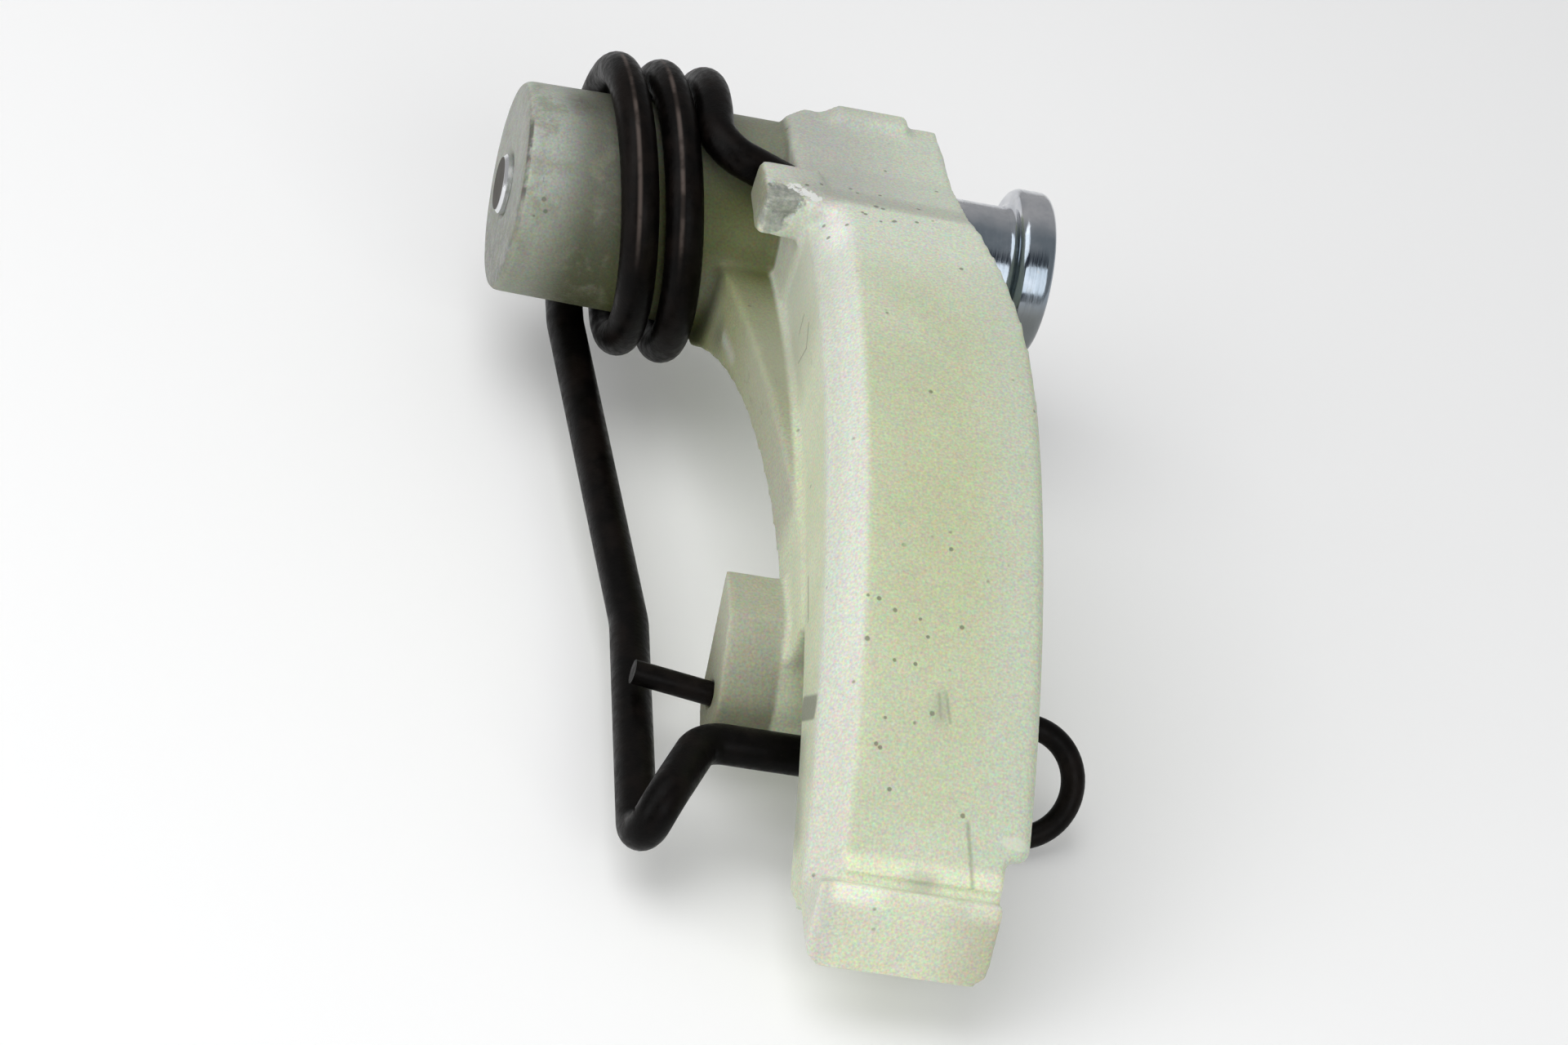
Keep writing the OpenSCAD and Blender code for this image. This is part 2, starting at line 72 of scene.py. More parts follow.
# Colours of the moulding
NYLON = {
    "face": (0.550, 0.590, 0.430),
    "face_pale": (0.610, 0.645, 0.495),
    "face_middle": (0.500, 0.535, 0.325),
    "face_far": (0.535, 0.585, 0.475),
    "face_top": (0.670, 0.715, 0.600),
    "nose_near": (0.640, 0.668, 0.508),
    "nose_far": (0.505, 0.510, 0.370),
    "flank": (0.480, 0.505, 0.385),
    # Painted light in the hollow before the end ridge, lifting its shade
    "trough_light": (0.720, 0.760, 0.560),
    # Painted highlight on the bevel along the near edge of the chain face, less bright low down
    "bevel_sheen_out": (0.575, 0.600, 0.520),
    "bevel_sheen_in": (0.635, 0.652, 0.578),
    "bevel_sheen_low": (0.590, 0.598, 0.512),
    "bevel_blot": (0.780, 0.790, 0.740),
    # Painted highlight along the end ridge
    "ridge": (0.840, 0.870, 0.720),
    "block_near": (0.495, 0.512, 0.450),
    "block_far": (0.620, 0.665, 0.550),
    # Painted shade in the valley between the block and the chain face
    "valley": (0.400, 0.410, 0.345),
    "web_mid": (0.262, 0.274, 0.156),
    "web_far": (0.395, 0.403, 0.305),
    # Painted shade on the web near the hub
    "web_hub_shade": (0.165, 0.178, 0.068),
    "web_inner_shade": (0.150, 0.162, 0.068),
    "web_streak": (0.100, 0.102, 0.076),
    "web_graze": (0.420, 0.430, 0.370),
    # Painted shade low on the ear
    "ear_shade": (0.155, 0.157, 0.088),
    # Painted light under the prong and beside it, cancelling the prong's shadow
    "heel": (0.630, 0.655, 0.530),
    "notch_light": (0.800, 0.820, 0.700),
    "prong": (0.590, 0.615, 0.530),
    "prong_end": (0.250, 0.255, 0.185),
    # Painted light and shade on the boss: darker below, lighter above, and a painted sheen band
    "boss_shaded": (0.255, 0.272, 0.212),
    "boss_lit": (0.385, 0.410, 0.360),
    "boss_sheen": (0.390, 0.408, 0.365),
    "boss_dirt": (0.095, 0.096, 0.075),
    "boss_stain": (0.205, 0.205, 0.150),
    "boss_rim": (0.075, 0.070, 0.058),
    "shade_low": (0.064, 0.069, 0.030),
    "shade_up": (0.132, 0.138, 0.106),
    "end_low": (0.180, 0.187, 0.166),
    "end_up": (0.275, 0.285, 0.250),
    "end_mottle": (0.320, 0.332, 0.300),
    # Hub between coil and prong: painted shade with the wire showing through, lighter low down and on
    # top, and a patch of painted light
    "olive_low": (0.165, 0.180, 0.066),
    "olive_up": (0.112, 0.124, 0.042),
    "olive_top": (0.210, 0.220, 0.155),
    "olive_light": (0.215, 0.225, 0.112),
    # Painted light in the crease at the root of the web, lifting its shade
    "root_light": (0.335, 0.345, 0.235),
    "speck": (0.085, 0.085, 0.055),
    "scuff": (0.160, 0.170, 0.120),
    "scratch": (0.130, 0.130, 0.090),
    "smudge_low": (0.290, 0.310, 0.250),
    "smudge_up": (0.290, 0.310, 0.250),
    "rubbed": (0.380, 0.390, 0.300),
    "shoulder": (0.400, 0.415, 0.320),
    "strip": (0.280, 0.285, 0.225),
    "square": (0.225, 0.235, 0.185),
    # Painted highlight on the edge of the step near the lower end
    "step_glint": (0.740, 0.770, 0.660),
    "bruise": (0.200, 0.215, 0.185),
    "bruise_pale": (0.330, 0.345, 0.305),
    "burr": (0.760, 0.770, 0.740),
}

# Colours of the turned pin
STEEL = {
    # Painted reflections: a dark band, a lit band above it, each with a hazier tint, and a darker band
    # lowest down
    "reflect_dark": (0.24, 0.285, 0.33),
    "reflect_dark_pale": (0.31, 0.35, 0.395),
    "reflect_lit": (0.53, 0.55, 0.59),
    "reflect_lit_pale": (0.66, 0.67, 0.70),
    "low": (0.205, 0.220, 0.225),
    "tip": (0.76, 0.77, 0.79),
    "stain": (0.30, 0.29, 0.27),
    "face": (0.060, 0.056, 0.051),
    "face_pale": (0.130, 0.122, 0.112),
}

# Colours of the blackened wires: film, thin film, pits, and the painted highlight on the crests
SPRING_DARK, SPRING_BROWN = (0.0016, 0.0013, 0.0012), (0.0055, 0.0038, 0.0032)
LOCK_DARK, LOCK_BROWN = (0.0025, 0.0021, 0.0018), (0.008, 0.006, 0.005)
WIRE_PIT, WIRE_GLINT = (0.016, 0.012, 0.011), (0.085, 0.067, 0.059)

# Single dark specks on the moulding, with their radius, in millimetres
SPECKS = (
    ((-17.3, -12.3, 12.3), 0.36), ((-16.8, -12.5, 12.3), 0.30), ((-13.0, -13.0, 12.5), 0.26),
    ((-21.1, -14.2, 11.0), 0.32), ((-17.2, -14.5, 12.6), 0.24), ((-16.2, -14.2, 12.5), 0.24),
    ((-18.5, -13.6, 12.5), 0.24), ((-21.0, -16.0, 11.3), 0.32), ((-18.3, -9.8, 11.5), 0.24),
    ((-16.5, -9.4, 11.4), 0.26), ((-21.0, -9.2, 11.3), 0.24), ((-22.3, -10.2, 11.6), 0.26),
    ((-15.1, -3.6, 9.8), 0.24), ((-40.5, -7.0, 4.1), 0.32), ((-40.2, -7.4, 3.3), 0.28),
    ((-41.0, -7.5, 2.8), 0.24), ((-18.8, -50.8, 6.4), 0.30), ((-19.5, -53.6, 5.0), 0.34),
    ((-12.8, -51.9, 5.9), 0.30), ((-14.6, -57.8, 2.8), 0.34), ((-18.4, -60.1, 1.3), 0.28),
    ((-18.1, -60.3, 1.2), 0.28), ((-11.9, -63.5, -1.0), 0.32), ((-15.8, -51.8, 6.0), 0.24),
    ((-15.2, -52.9, 5.4), 0.24), ((-17.5, -54.8, 4.5), 0.26), ((-16.0, -54.8, 4.4), 0.26),
    ((-19.6, -50.7, 6.5), 0.26), ((-17.2, -62.6, -0.4), 0.28), ((-17.9, -58.5, 2.4), 0.24),
    ((-25.3, -11.3, 11.9), 0.32), ((-22.4, -10.6, 12.0), 0.30), ((-21.2, -10.0, 11.8), 0.26),
    ((-19.9, -15.6, 12.5), 0.28), ((-18.3, -13.8, 12.5), 0.28),
)

# Scratches and rubbed lines on the moulding: ends, half-width and strength, in millimetres
SCRATCHES = (
    ((-22.0, -20.0, 6.9), (-22.0, -20.4, 5.5), 0.22, 0.90),
    ((-22.0, -22.0, 7.7), (-22.0, -23.6, 6.6), 0.20, 0.90),
    ((-22.0, -23.6, 6.6), (-22.0, -22.8, 4.6), 0.18, 0.90),
    ((-24.6, -22.1, 0.2), (-24.4, -24.6, 0.4), 0.25, 0.60),
    ((-24.3, -25.8, 0.2), (-24.0, -27.6, 0.6), 0.30, 0.60),
    ((-22.0, -43.6, 1.5), (-22.0, -47.2, 0.5), 0.25, 0.50),
    ((-14.2, -56.5, 3.5), (-14.0, -58.0, 2.7), 0.20, 0.35),
    ((-13.7, -56.4, 3.6), (-13.3, -58.2, 2.5), 0.20, 0.35),
    ((-11.5, -63.9, -1.3), (-10.7, -67.4, -4.1), 0.26, 0.40),
)

# Rubbed line on the web and shaded strip low on the side, in the same form
WEB_GRAZE = (-25.6, -13.8, -0.9), (-25.3, -16.5, -0.6), 1.0, 0.60
SIDE_STRIP = (-22.0, -56.0, -3.9), (-22.0, -61.5, -6.5), 2.4, 0.60

# Tinted places of the moulding: centre, radius and stretch in millimetres, and strength
EVEN = (1, 1, 1)
TINTS = {
    "face_middle": ((-14.5, -45.0, 8.5), 25.0, (1.7, 0.75, 1.0), 0.80),
    "bevel_blot": ((-20.9, -16.0, 12.4), 2.6, (1.2, 0.7, 1.0), 1.00),
    "web_streak": ((-25.8, -12.4, -1.7), 2.6, EVEN, 0.60),
    # Painted light beside the prong, cancelling its shadow
    "notch_light": ((-22.3, -11.2, 6.9), 2.6, EVEN, 0.90),
    "prong": ((-25.2, -9.6, 11.9), 3.6, EVEN, 0.90),
    "boss_dirt": ((-37.7, 0.6, 7.9), 2.6, EVEN, 1.00),
    # Painted light on the hub beside the coil, lifting its shade
    "olive_light": ((-23.2, -7.3, 4.1), 4.0, EVEN, 0.60),
    # Painted light in the crease at the root of the web
    "root_light": ((-26.4, -8.7, -0.6), 4.2, EVEN, 0.75),
    "smudge_low": ((-14.2, -67.3, -4.1), 2.0, (1.0, 1.6, 1.0), 0.42),
    "smudge_up": ((-14.0, -57.4, 3.0), 1.8, (1.6, 0.8, 1.0), 0.42),
    "rubbed": ((-22.0, -21.0, 4.5), 9.0, EVEN, 0.60),
    "shoulder": ((-22.1, -14.5, 6.8), 6.0, EVEN, 0.45),
}

# Torn places where the moulding gate was broken off: place, radius and depth, in millimetres
TEARS = (
    ((-24.3, -12.3, 11.6), 2.3, 0.35),
    ((-25.0, -13.2, 9.8), 1.6, 0.30),
)
# Lumps of a torn surface in one metre
TEAR_GRAIN = 1100


# Node helpers
def new_material(name):
    mat = bpy.data.materials.new(name)
    mat.use_nodes = True
    tree = mat.node_tree
    tree.nodes.clear()
    out = tree.nodes.new("ShaderNodeOutputMaterial")
    shader = tree.nodes.new("ShaderNodeBsdfPrincipled")
    tree.links.new(shader.outputs["BSDF"], out.inputs["Surface"])
    return mat, tree, shader


def add(tree, kind, **props):
    node = tree.nodes.new(kind)
    for key, value in props.items():
        setattr(node, key, value)
    return node


def position(tree):
    """Place in the part's frame, in millimetres."""
    coord = add(tree, "ShaderNodeTexCoord")
    scale = add(tree, "ShaderNodeVectorMath", operation="SCALE")
    scale.inputs["Scale"].default_value = MM
    tree.links.new(coord.outputs["Object"], scale.inputs[0])
    return scale.outputs[0]


def axes(tree, vec):
    """X, Y and Z of a place."""
    parts = add(tree, "ShaderNodeSeparateXYZ")
    tree.links.new(vec, parts.inputs[0])
    return tuple(parts.outputs)


def noise(tree, vec, scale, detail=3.0, rough=0.5, stretch=None):
    if stretch:
        mul = add(tree, "ShaderNodeVectorMath", operation="MULTIPLY")
        mul.inputs[1].default_value = stretch
        tree.links.new(vec, mul.inputs[0])
        vec = mul.outputs[0]
    n = add(tree, "ShaderNodeTexNoise")
    n.inputs["Scale"].default_value = scale
    n.inputs["Detail"].default_value = detail
    n.inputs["Roughness"].default_value = rough
    tree.links.new(vec, n.inputs["Vector"])
    return n.outputs["Fac"]


def ramp(tree, fac, low, high, to_low=0.0, to_high=1.0):
    """Smooth step from to_low to to_high as fac goes from low to high."""
    m = add(tree, "ShaderNodeMapRange", interpolation_type="SMOOTHSTEP")
    m.inputs["From Min"].default_value = low
    m.inputs["From Max"].default_value = high
    m.inputs["To Min"].default_value = to_low
    m.inputs["To Max"].default_value = to_high
    tree.links.new(fac, m.inputs["Value"])
    return m.outputs["Result"]


def calc(tree, op, a, b=0.0):
    m = add(tree, "ShaderNodeMath", operation=op)
    for i, v in enumerate((a, b)):
        if isinstance(v, (int, float)):
            m.inputs[i].default_value = v
        else:
            tree.links.new(v, m.inputs[i])
    return m.outputs[0]


def times(tree, *masks):
    """Product of masks and numbers."""
    out = masks[0]
    for m in masks[1:]:
        out = calc(tree, "MULTIPLY", out, m)
    return out


def mix(tree, fac, a, b):
    m = add(tree, "ShaderNodeMix", data_type="RGBA")
    for socket, v in ((m.inputs["Factor"], fac), (m.inputs["A"], a), (m.inputs["B"], b)):
        if isinstance(v, tuple):
            socket.default_value = (*v, 1.0)
        else:
            tree.links.new(v, socket)
    return m.outputs["Result"]


def lifted(tree, y, z):
    """Height in the photo's view and nearness to it, from the pin axis."""
    height = calc(tree, "ADD", times(tree, y, LIFT_Y), times(tree, z, LIFT_Z))
    facing = calc(tree, "SUBTRACT", times(tree, z, LIFT_Y), times(tree, y, LIFT_Z))
    return height, facing


def off(tree, value, centre):
    """Distance of a value from a centre."""
    return calc(tree, "ABSOLUTE", calc(tree, "SUBTRACT", value, centre))


def reach(tree, vec, centre, stretch=EVEN):
    """Distance from a place in the part's frame, in millimetres."""
    sub = add(tree, "ShaderNodeVectorMath", operation="SUBTRACT")
    sub.inputs[1].default_value = centre
    tree.links.new(vec, sub.inputs[0])
    mul = add(tree, "ShaderNodeVectorMath", operation="MULTIPLY")
    mul.inputs[1].default_value = stretch
    tree.links.new(sub.outputs[0], mul.inputs[0])
    length = add(tree, "ShaderNodeVectorMath", operation="LENGTH")
    tree.links.new(mul.outputs[0], length.inputs[0])
    return length.outputs["Value"]


def near(tree, vec, centre, radius, stretch=EVEN):
    """1 at a place in the part's frame, fading to 0 at radius, in millimetres."""
    return ramp(tree, reach(tree, vec, centre, stretch), 0.0, radius, 1.0, 0.0)


def stroke(tree, vec, a, b, radius):
    """1 on the line from a to b, fading to 0 at radius, in millimetres."""
    a, b = Vector(a), Vector(b)
    run = b - a
    sub = add(tree, "ShaderNodeVectorMath", operation="SUBTRACT")
    sub.inputs[1].default_value = a
    tree.links.new(vec, sub.inputs[0])
    dot = add(tree, "ShaderNodeVectorMath", operation="DOT_PRODUCT")
    dot.inputs[1].default_value = run / run.length_squared
    tree.links.new(sub.outputs[0], dot.inputs[0])
    along = add(tree, "ShaderNodeClamp")
    tree.links.new(dot.outputs["Value"], along.inputs["Value"])
    foot = add(tree, "ShaderNodeVectorMath", operation="SCALE")
    foot.inputs[0].default_value = run
    tree.links.new(along.outputs[0], foot.inputs["Scale"])
    gap = add(tree, "ShaderNodeVectorMath", operation="DISTANCE")
    tree.links.new(sub.outputs[0], gap.inputs[0])
    tree.links.new(foot.outputs[0], gap.inputs[1])
    return ramp(tree, gap.outputs["Value"], 0.0, radius, 1.0, 0.0)


def speckle(tree, vec, colour, scale, spread):
    """Colour with a fine grain that differs a little per channel."""
    n = add(tree, "ShaderNodeTexNoise")
    n.inputs["Scale"].default_value = scale
    n.inputs["Detail"].default_value = 2.0
    tree.links.new(vec, n.inputs["Vector"])
    floor = 1 - spread / 2
    gain = add(tree, "ShaderNodeVectorMath", operation="MULTIPLY_ADD")
    gain.inputs[1].default_value = (spread, spread, spread)
    gain.inputs[2].default_value = (floor, floor, floor)
    tree.links.new(n.outputs["Color"], gain.inputs[0])
    mul = add(tree, "ShaderNodeVectorMath", operation="MULTIPLY")
    tree.links.new(colour, mul.inputs[0])
    tree.links.new(gain.outputs[0], mul.inputs[1])
    return mul.outputs[0]


def bump(tree, shader, height, distance):
    b = add(tree, "ShaderNodeBump")
    b.inputs["Distance"].default_value = distance
    b.inputs["Strength"].default_value = 1.0
    tree.links.new(height, b.inputs["Height"])
    tree.links.new(b.outputs["Normal"], shader.inputs["Normal"])


# Paint of the moulding, area by area
def tint(tree, p, colour, name, *masks):
    """Fade a named tint into a colour round its place, within the masks."""
    centre, radius, stretch, strength = TINTS[name]
    mask = times(tree, near(tree, p, centre, radius, stretch), *masks, strength)
    return mix(tree, mask, colour, NYLON[name])


def score(tree, p, colour, tone, a, b, width, strength):
    """Draw a soft line from a to b into a colour."""
    return mix(tree, times(tree, stroke(tree, p, a, b, width), strength), colour, tone)


def shoe_paint(tree, p):
    """Chain face, yellower in its middle and bluer along its far edge, with a painted highlight on the
    bevel and on the end ridge, and painted light in the hollow before the ridge.
    """
    x, y, z = axes(tree, p)
    cloud = noise(tree, p, 0.12, 3.0, 0.55)
    colour = mix(tree, ramp(tree, cloud, 0.35, 0.65), NYLON["face"], NYLON["face_pale"])
    colour = tint(tree, p, colour, "face_middle")
    colour = mix(tree, ramp(tree, x, -12.5, -8.5, 0.0, 0.6), colour, NYLON["face_far"])
    colour = mix(tree, ramp(tree, y, -25.0, -14.0, 0.0, 0.85), colour, NYLON["face_top"])
    nose = mix(tree, ramp(tree, x, -14.0, -9.0), NYLON["nose_near"], NYLON["nose_far"])
    colour = mix(tree, ramp(tree, y, -66.5, -68.5), colour, nose)
    flank = times(tree, ramp(tree, x, -20.4, -21.2), ramp(tree, y, -67.0, -68.0), 0.8)
    colour = mix(tree, flank, colour, NYLON["flank"])
    # Painted light in the hollow before the end ridge, lifting its shade
    above_end = ramp(tree, z, -6.0, -5.0)
    trough_light = times(tree, ramp(tree, y, -66.0, -66.7), ramp(tree, y, -68.0, -67.4), above_end)
    colour = mix(tree, trough_light, colour, NYLON["trough_light"])
    # Painted highlight on the bevel, paler inward and less bright low down
    curve = ramp(tree, reach(tree, p, SHOE_CENTRE, FROM_AXIS), 67.6, 69.4)
    bevel = times(tree, curve, ramp(tree, x, -19.4, -20.1), ramp(tree, y, -11.5, -14.0), 0.9)
    pale = mix(tree, ramp(tree, x, -21.6, -20.6), NYLON["bevel_sheen_out"], NYLON["bevel_sheen_in"])
    pale = mix(tree, ramp(tree, y, -52.0, -61.0), pale, NYLON["bevel_sheen_low"])
    colour = mix(tree, bevel, colour, pale)
    colour = tint(tree, p, colour, "bevel_blot")
    # Painted highlight along the crest of the end ridge, strongest at its near end
    crest = ramp(tree, reach(tree, p, END_RIDGE, ALONG_ARM), 0.3, 1.1, 1.0, 0.0)
    ends = calc(
        tree, "MAXIMUM", ramp(tree, x, -16.0, -18.0, 0.1, 0.85), ramp(tree, x, -11.5, -10.5, 0.1, 0.4)
    )
    ridge = times(tree, crest, ends, ramp(tree, z, -6.0, -4.9), ramp(tree, x, -21.0, -20.0))
    return mix(tree, ridge, colour, NYLON["ridge"])


def block_paint(tree, p, colour):
    """Greyer block over the hub, with painted shade in the valley before the chain face."""
    x, y, z = axes(tree, p)
    above = ramp(tree, z, 6.0, 8.3)
    grey = mix(tree, ramp(tree, x, -20.0, -10.5), NYLON["block_near"], NYLON["block_far"])
    colour = mix(tree, times(tree, ramp(tree, y, -12.6, -11.4), above), colour, grey)
    # Painted shade in the valley before the chain face
    valley = times(tree, ramp(tree, y, -12.9, -12.3), ramp(tree, y, -9.0, -10.6), above, 0.5)
    return mix(tree, valley, colour, NYLON["valley"])


def web_paint(tree, p, colour):
    """Web and ear, with painted shade towards the hub and below, then the side by the hub with painted
    light under the prong, and the prong.
    """
    x, y, z = axes(tree, p)
    radius = reach(tree, p, (0.0, 0.0, 0.0), FROM_AXIS)
    # Painted shade: the web darker towards the hub and close round it, and the ear darker low down
    web = mix(tree, ramp(tree, y, -15.0, -36.0), NYLON["web_mid"], NYLON["web_far"])
    web = mix(tree, ramp(tree, y, -4.0, -15.0), NYLON["web_hub_shade"], web)
    web = mix(tree, ramp(tree, radius, 8.8, 12.0), NYLON["web_inner_shade"], web)
    ear_shade = times(tree, ramp(tree, z, -3.0, -10.0), ramp(tree, y, -36.0, -40.0))
    web = mix(tree, ear_shade, web, NYLON["ear_shade"])
    web = tint(tree, p, web, "web_streak")
    web = score(tree, p, web, NYLON["web_graze"], *WEB_GRAZE)
    where = times(
        tree, ramp(tree, x, SIDE_X - 0.35, SIDE_X - 0.8), ramp(tree, radius, 8.2, 8.6),
        ramp(tree, z, 8.2, 6.8), ramp(tree, y, 0.0, -3.0),
    )
    colour = mix(tree, where, colour, web)
    # Painted light on the face under the prong and beside it, cancelling the prong's shadow
    off_hub = ramp(tree, radius, 9.0, 9.6)
    heel = times(
        tree, ramp(tree, x, SIDE_X - 0.05, SIDE_X - 0.2), ramp(tree, x, SIDE_X - 0.55, SIDE_X - 0.4),
        off_hub, near(tree, p, (-22.3, -11.0, 5.0), 6.5), ramp(tree, z, 8.6, 7.6), 2.0,
    )
    colour = mix(tree, calc(tree, "MINIMUM", heel, 0.9), colour, NYLON["heel"])
    colour = tint(tree, p, colour, "notch_light", off_hub)
    colour = tint(tree, p, colour, "prong")
    end = times(tree, ramp(tree, x, -25.35, -25.70), ramp(tree, z, 6.5, 8.0), ramp(tree, y, -6.0, -7.5))
    return mix(tree, end, colour, NYLON["prong_end"])


def boss_paint(tree, p, colour, grain):
    """Boss and hub, painted lighter above and shaded below with a painted sheen band, and painted shade
    towards the coil, deepened where the pin inside and the wire outside show through.
    """
    x, y, z = axes(tree, p)
    radius = reach(tree, p, (0.0, 0.0, 0.0), FROM_AXIS)
    height, facing = lifted(tree, y, z)
    # Painted light and shade: the boss lighter on top and darker below, with a painted sheen band
    upper = ramp(tree, height, -8.0, 4.0)
    boss = mix(tree, upper, NYLON["boss_shaded"], NYLON["boss_lit"])
    band = times(tree, ramp(tree, off(tree, height, 0.9), 0.2, 1.9, 1.0, 0.0), 0.40)
    boss = mix(tree, band, boss, NYLON["boss_sheen"])
    # Painted shade towards the coil, deepened where the wire outside and the pin inside show through
    shade = mix(tree, upper, NYLON["shade_low"], NYLON["shade_up"])
    boss = mix(tree, ramp(tree, x, -41.0, -36.6), boss, shade)
    boss = tint(tree, p, boss, "boss_dirt", ramp(tree, grain, 0.3, 0.6, 0.35, 0.95))
    end = mix(tree, ramp(tree, height, -6.0, 3.0), NYLON["end_low"], NYLON["end_up"])
    mottle = ramp(tree, noise(tree, p, 1.1, 4.0, 0.65), 0.42, 0.62, 0.0, 0.6)
    end = mix(tree, mottle, end, NYLON["end_mottle"])
    boss = mix(tree, ramp(tree, x, BOSS_END_X + 0.15, BOSS_END_X), boss, end)
    stain = ramp(tree, noise(tree, p, 0.42, 5.0, 0.65), 0.48, 0.66, 0.0, 0.5)
    boss = mix(tree, stain, boss, NYLON["boss_stain"])
    rim = times(
        tree, ramp(tree, radius, 7.55, 7.8), ramp(tree, x, BOSS_END_X + 0.35, BOSS_END_X + 0.2),
        ramp(tree, facing, 1.0, 5.0), ramp(tree, noise(tree, p, 0.7, 3.0, 0.6), 0.36, 0.56, 0.25, 0.9),
        ramp(tree, height, 5.2, 4.2), ramp(tree, height, -2.0, -0.6, 0.25, 1.0),
    )
    boss = mix(tree, rim, boss, NYLON["boss_rim"])
    # Hub between coil and prong: painted shade with the wire showing through, lighter low down and on
    # top, and a patch of painted light
    olive = mix(tree, upper, NYLON["olive_low"], NYLON["olive_up"])
    olive = mix(tree, ramp(tree, height, 0.5, 5.5), olive, NYLON["olive_top"])
    olive = tint(tree, p, olive, "olive_light")
    boss = mix(tree, ramp(tree, x, -35.5, -31.0), boss, olive)
    where = times(tree, ramp(tree, radius, 9.3, 8.6), ramp(tree, x, SIDE_X + 0.5, SIDE_X - 0.4))
    colour = mix(tree, where, colour, boss)
    # Painted light in the crease at the root of the web, lifting its shade
    return tint(tree, p, colour, "root_light")


def speck_mask(tree, p):
    """Dark specks, thickest along the step of the face and at the worn lower middle."""
    cells = add(tree, "ShaderNodeTexVoronoi")
    cells.inputs["Scale"].default_value = 0.62
    tree.links.new(p, cells.inputs["Vector"])
    dots = ramp(tree, cells.outputs["Distance"], 0.06, 0.14, 1.0, 0.0)
    low = near(tree, p, (-16.5, -52.0, 6.0), 13.0)
    step = near(tree, p, (-16.0, -12.5, 12.3), 9.0, (0.6, 1.6, 1.0))
    worn = times(tree, calc(tree, "ADD", low, step), 0.2)
    pick = ramp(tree, calc(tree, "ADD", noise(tree, p, 0.45, 2.0), worn), 0.56, 0.68)
    specks = times(tree, dots, pick)
    for centre, size in SPECKS:
        specks = calc(tree, "MAXIMUM", specks, ramp(tree, near(tree, p, centre, size), 0.15, 0.7))
    return specks


def mark_paint(tree, p, colour):
    """Scuffs along the arm, scratches, smudges, rubbed places and a painted highlight on the edge of the
    step.
    """
    x, y, z = axes(tree, p)
    scuff = ramp(tree, noise(tree, p, 0.9, 3.0, 0.6, (3.2, 0.35, 1.2)), 0.62, 0.72)
    sides = calc(
        tree, "ADD", near(tree, p, (-22.0, -21.0, 6.0), 9.0), near(tree, p, (-24.0, -22.0, -1.0), 7.0)
    )
    sides = calc(tree, "ADD", sides, near(tree, p, (-40.0, -5.0, 3.4), 6.0))
    colour = mix(tree, times(tree, scuff, ramp(tree, sides, 0.0, 0.8, 0.0, 0.6)), colour, NYLON["scuff"])
    for line in SCRATCHES:
        colour = score(tree, p, colour, NYLON["scratch"], *line)
    for name in ("smudge_low", "smudge_up", "rubbed", "shoulder"):
        colour = tint(tree, p, colour, name)
    colour = score(tree, p, colour, NYLON["strip"], *SIDE_STRIP)
    across = off(tree, calc(tree, "ADD", y, z), -55.67)
    square = times(
        tree, ramp(tree, across, 1.05, 1.45, 1.0, 0.0), ramp(tree, x, SIDE_X + 0.25, SIDE_X + 0.05),
        ramp(tree, reach(tree, p, (SIDE_X, -54.25, -1.3)), 2.5, 1.8), 0.9,
    )
    colour = mix(tree, square, colour, NYLON["square"])
    # Painted highlight on the edge of the step near the lower end
    step_glint = near(tree, p, (-7.9, -64.6, -1.9), 1.5, (0.7, 2.4, 1.0))
    return mix(tree, ramp(tree, step_glint, 0.2, 0.6, 0.0, 0.4), colour, NYLON["step_glint"])


def gate_mask(tree, p):
    """Bruised patch where the moulding gate was broken off."""
    torn = times(tree, calc(tree, "SUBTRACT", noise(tree, p, 0.8, 5.0, 0.7), 0.5), 1.5)
    gate = calc(tree, "ADD", near(tree, p, (-24.2, -12.5, 11.9), 2.8, (1.1, 1.0, 0.9)), torn)
    low = calc(tree, "ADD", near(tree, p, (-24.9, -13.2, 10.0), 2.2), torn)
    return calc(tree, "MAXIMUM", ramp(tree, gate, 0.34, 0.56), ramp(tree, low, 0.34, 0.62, 0.0, 0.8))


def gate_paint(tree, p, colour, gate, grain):
    """Grey bruise with a pale torn edge."""
    bruise = mix(tree, ramp(tree, grain, 0.35, 0.65), NYLON["bruise"], NYLON["bruise_pale"])
    colour = mix(tree, times(tree, gate, 0.85), colour, bruise)
    shred = times(tree, calc(tree, "SUBTRACT", noise(tree, p, 1.9, 4.0, 0.7), 0.5), 3.2)
    edge = calc(tree, "ADD", stroke(tree, p, (-23.3, -11.1, 12.0), (-21.9, -12.5, 12.2), 1.0), shred)
    edge = times(tree, ramp(tree, edge, 0.45, 0.75, 0.0, 0.85), near(tree, p, (-22.5, -11.9, 12.1), 2.6))
    return mix(tree, ramp(tree, edge, 0.05, 0.4), colour, NYLON["burr"])


